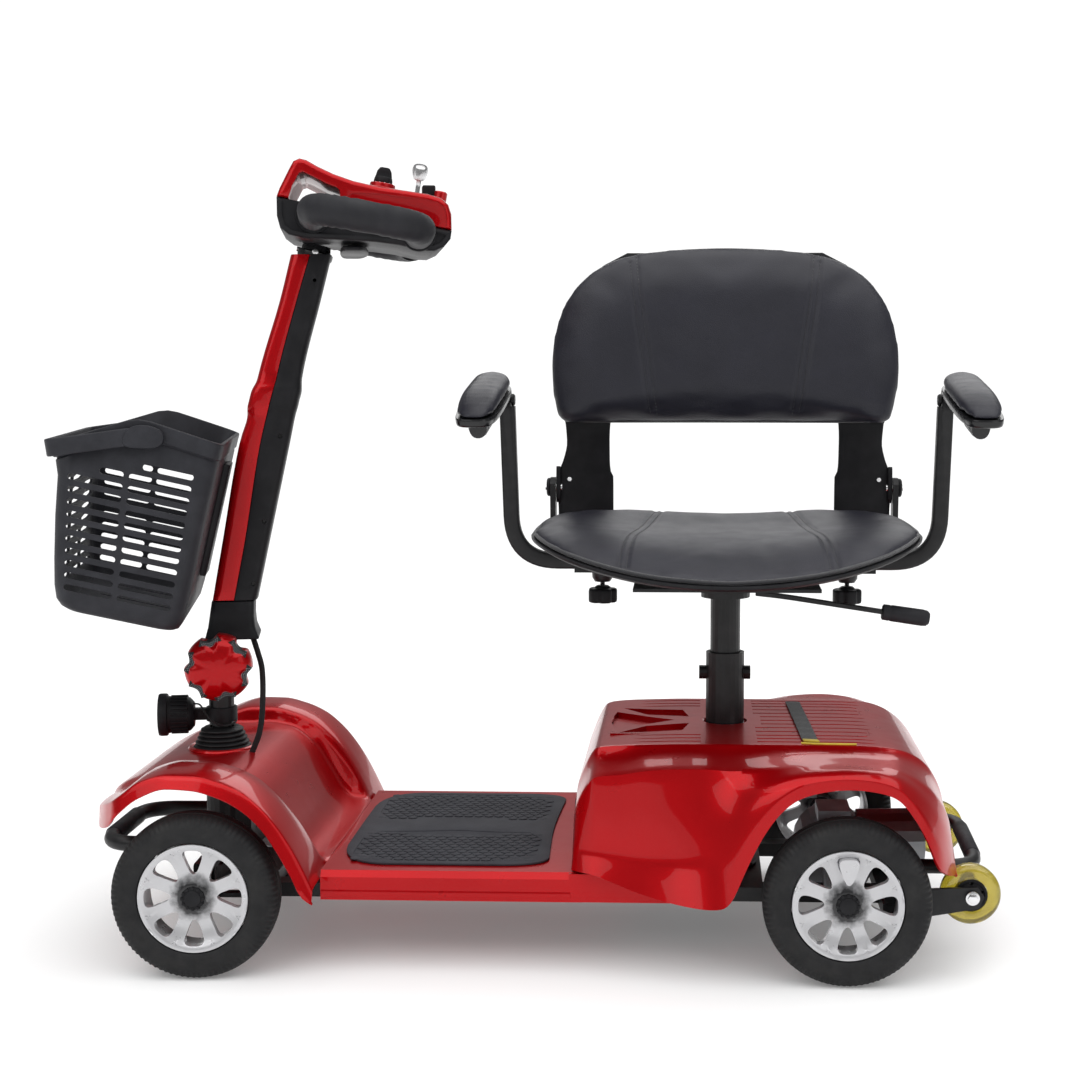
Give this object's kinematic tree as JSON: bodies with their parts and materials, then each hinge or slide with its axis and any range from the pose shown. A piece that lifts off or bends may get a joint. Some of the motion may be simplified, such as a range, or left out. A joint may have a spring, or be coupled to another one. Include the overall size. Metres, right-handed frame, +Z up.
{
  "type": "mobility scooter",
  "caption": "Small four-wheel mobility scooter with swivel seat, flip-up arms, folding tiller, front basket, bumpers and rear anti-tip wheels.",
  "frame": {"origin": "middle of the overall footprint, on the floor", "axes": "+X from front to back (the scooter drives towards -X), -Y the driver's left side, +Z up"},
  "size_m": [1.1564, 0.5178, 0.9395],
  "materials": {
    "red_paint": "glossy metallic red",
    "black_plastic": "satin black",
    "black_steel": "satin black powder coat",
    "leather": "grained charcoal",
    "tyre_rubber": "matt",
    "soft_rubber": "matt",
    "mat_rubber": "matt textured",
    "silver_alloy": "satin silver",
    "grey_alloy": "cast grey",
    "bright_steel": "polished",
    "amber_urethane": "clear amber",
    "lamp_lens": "clear",
    "webbing": "woven black"
  },
  "bodies": {
    "chassis": {"chassis_frame": "black_steel", "front_cowl": "red_paint", "footboard": "red_paint", "floor_mat": "mat_rubber", "rear_shroud": "red_paint", "steering_boot": "soft_rubber", "seat_post_socket": "black_steel", "transaxle_motor": "grey_alloy", "battery_pack": "black_plastic", "motor_controller": "grey_alloy", "front_bumper": "black_steel", "rear_bumper": "black_steel", "battery_strap": "webbing"},
    "steer_column": {"steering_column": "black_steel", "headlight_housing": "black_plastic", "headlight_lens": "lamp_lens", "harness_lower": "soft_rubber", "harness_upper": "soft_rubber"},
    "tie_rod": {"tie_rod": "black_steel"},
    "front_left_knuckle": {"front_left_steering_knuckle": "black_steel"},
    "front_right_knuckle": {"front_right_steering_knuckle": "black_steel"},
    "front_left_wheel": {"front_left_rim": "silver_alloy", "front_left_tyre": "tyre_rubber"},
    "front_right_wheel": {"front_right_rim": "silver_alloy", "front_right_tyre": "tyre_rubber"},
    "rear_left_wheel": {"rear_left_rim": "silver_alloy", "rear_left_tyre": "tyre_rubber"},
    "rear_right_wheel": {"rear_right_rim": "silver_alloy", "rear_right_tyre": "tyre_rubber"},
    "left_anti_tip_wheel": {"left_anti_tip_hub": "black_plastic", "left_anti_tip_tyre": "amber_urethane"},
    "right_anti_tip_wheel": {"right_anti_tip_hub": "black_plastic", "right_anti_tip_tyre": "amber_urethane"},
    "tiller": {"tiller_mast": "black_steel", "tiller_front_shell": "red_paint", "tiller_rear_shell": "black_plastic", "tiller_skirt": "black_plastic", "head_lower_shell": "black_plastic", "head_upper_shell": "red_paint", "left_grip": "soft_rubber", "right_grip": "soft_rubber"},
    "fold_knob": {"fold_knob": "red_paint"},
    "speed_dial": {"speed_dial": "black_plastic"},
    "ignition_key": {"ignition_key": "bright_steel"},
    "horn_button": {"horn_button": "black_plastic"},
    "throttle_paddle": {"throttle_paddle": "black_plastic"},
    "basket": {"basket": "black_plastic"},
    "basket_handle": {"basket_handle": "black_plastic"},
    "seat_post": {"seat_post": "black_steel"},
    "seat": {"seat_base": "black_steel", "seat_cushion": "leather"},
    "seat_back": {"back_cushion": "leather", "back_frame": "black_plastic"},
    "left_arm": {"left_arm_tube": "black_steel"},
    "right_arm": {"right_arm_tube": "black_steel"},
    "left_pad": {"left_arm_pad": "leather"},
    "right_pad": {"right_arm_pad": "leather"},
    "left_arm_knob": {"left_arm_knob": "black_plastic"},
    "right_arm_knob": {"right_arm_knob": "black_plastic"},
    "swivel_lever": {"swivel_lever": "black_steel"}
  },
  "joints": [
    {"name": "steer", "type": "hinge", "parent": "chassis", "child": "steer_column", "pos_m": [-0.3678, -0.016, 0.2], "axis": [0, 0, 1], "range_deg": [-41, 19], "deforming": ["harness_lower"]},
    {"name": "front_left_kingpin", "type": "hinge", "parent": "chassis", "child": "front_left_knuckle", "pos_m": [-0.3454, -0.171, 0.095], "axis": [0, 0, 1], "range_deg": [-29, 14]},
    {"name": "front_right_kingpin", "type": "hinge", "parent": "chassis", "child": "front_right_knuckle", "pos_m": [-0.3454, 0.139, 0.095], "axis": [0, 0, 1], "range_deg": [-29, 14]},
    {"name": "tie_rod_pivot", "type": "hinge", "parent": "steer_column", "child": "tie_rod", "pos_m": [-0.3228, -0.016, 0.05], "axis": [0, 0, 1], "range_deg": [-19.5, 41.5]},
    {"name": "front_left_wheel_spin", "type": "hinge", "parent": "front_left_knuckle", "child": "front_left_wheel", "pos_m": [-0.34325, -0.23246, 0.095], "axis": [-0.0349, 0.9994, 0], "continuous": true},
    {"name": "front_right_wheel_spin", "type": "hinge", "parent": "front_right_knuckle", "child": "front_right_wheel", "pos_m": [-0.34755, 0.20046, 0.095], "axis": [-0.0349, 0.9994, 0], "continuous": true},
    {"name": "rear_left_wheel_spin", "type": "hinge", "parent": "chassis", "child": "rear_left_wheel", "pos_m": [0.3934, -0.2325, 0.095], "axis": [0, 1, 0], "continuous": true},
    {"name": "rear_right_wheel_spin", "type": "hinge", "parent": "chassis", "child": "rear_right_wheel", "pos_m": [0.3934, 0.2005, 0.095], "axis": [0, 1, 0], "continuous": true},
    {"name": "left_anti_tip_spin", "type": "hinge", "parent": "chassis", "child": "left_anti_tip_wheel", "pos_m": [0.5412, -0.164, 0.085], "axis": [0, 1, 0], "continuous": true},
    {"name": "right_anti_tip_spin", "type": "hinge", "parent": "chassis", "child": "right_anti_tip_wheel", "pos_m": [0.5412, 0.132, 0.085], "axis": [0, 1, 0], "continuous": true},
    {"name": "tiller_fold", "type": "hinge", "parent": "steer_column", "child": "tiller", "pos_m": [-0.36584, -0.01562, 0.329], "axis": [0.1908, -0.9816, 0], "range_deg": [-12, 12], "deforming": ["harness_upper"]},
    {"name": "fold_knob_spin", "type": "hinge", "parent": "steer_column", "child": "fold_knob", "pos_m": [-0.36584, -0.01562, 0.329], "axis": [0.1908, -0.9816, 0], "continuous": true},
    {"name": "speed_dial_turn", "type": "hinge", "parent": "tiller", "child": "speed_dial", "pos_m": [-0.16431, 0.02355, 0.9145], "axis": [0.1493, 0.029, 0.9884], "range_deg": [-135, 135]},
    {"name": "ignition_key_turn", "type": "hinge", "parent": "tiller", "child": "ignition_key", "pos_m": [-0.12337, 0.03151, 0.8987], "axis": [0.1471, 0.0286, 0.9887], "range_deg": [0, 60]},
    {"name": "horn_button_press", "type": "slide", "parent": "tiller", "child": "horn_button", "axis": [-0.1782, -0.0346, -0.9834], "range_m": [0, 0.002], "stiffness_N_per_m": 400},
    {"name": "throttle_paddle_turn", "type": "hinge", "parent": "tiller", "child": "throttle_paddle", "pos_m": [-0.19896, 0.01682, 0.83], "axis": [0, 0, 1], "range_deg": [-12, 12], "stiffness_Nm_per_rad": 0.4},
    {"name": "basket_lift", "type": "slide", "parent": "tiller", "child": "basket", "axis": [0.2275, 0.0442, 0.9728], "range_m": [0, 0.05]},
    {"name": "basket_handle_swing", "type": "hinge", "parent": "basket", "child": "basket_handle", "pos_m": [-0.43037, -0.02816, 0.61399], "axis": [-0.1908, 0.9816, 0], "range_deg": [0, 95]},
    {"name": "seat_post_height", "type": "slide", "parent": "chassis", "child": "seat_post", "axis": [0, 0, 1], "range_m": [0, 0.06]},
    {"name": "seat_swivel", "type": "hinge", "parent": "seat_post", "child": "seat", "pos_m": [0.2592, -0.016, 0.418], "axis": [0, 0, 1], "continuous": true},
    {"name": "seat_back_fold", "type": "hinge", "parent": "seat", "child": "seat_back", "pos_m": [0.2592, 0.174, 0.53], "axis": [1, 0, 0], "range_deg": [0, 66]},
    {"name": "left_arm_width", "type": "slide", "parent": "seat", "child": "left_arm", "axis": [-1, 0, 0], "range_m": [0, 0.05]},
    {"name": "right_arm_width", "type": "slide", "parent": "seat", "child": "right_arm", "axis": [1, 0, 0], "range_m": [0, 0.05]},
    {"name": "left_pad_flip", "type": "hinge", "parent": "left_arm", "child": "left_pad", "pos_m": [-0.0158, 0.069, 0.648], "axis": [-1, 0, 0], "range_deg": [0, 80]},
    {"name": "right_pad_flip", "type": "hinge", "parent": "right_arm", "child": "right_pad", "pos_m": [0.5342, 0.069, 0.648], "axis": [-1, 0, 0], "range_deg": [0, 80]},
    {"name": "left_arm_knob_spin", "type": "hinge", "parent": "seat", "child": "left_arm_knob", "pos_m": [0.1042, 0.064, 0.41], "axis": [0, 0, 1], "continuous": true},
    {"name": "right_arm_knob_spin", "type": "hinge", "parent": "seat", "child": "right_arm_knob", "pos_m": [0.4142, 0.064, 0.41], "axis": [0, 0, 1], "continuous": true},
    {"name": "swivel_lever_pull", "type": "hinge", "parent": "seat", "child": "swivel_lever", "pos_m": [0.3092, -0.076, 0.42], "axis": [0, -1, 0], "range_deg": [0, 8], "stiffness_Nm_per_rad": 8}
  ],
  "couplings": [
    {"joint": "front_left_kingpin", "follows": "steer", "ratio": 0.7},
    {"joint": "front_right_kingpin", "follows": "steer", "ratio": 0.7},
    {"joint": "tie_rod_pivot", "follows": "steer", "ratio": -1}
  ]
}
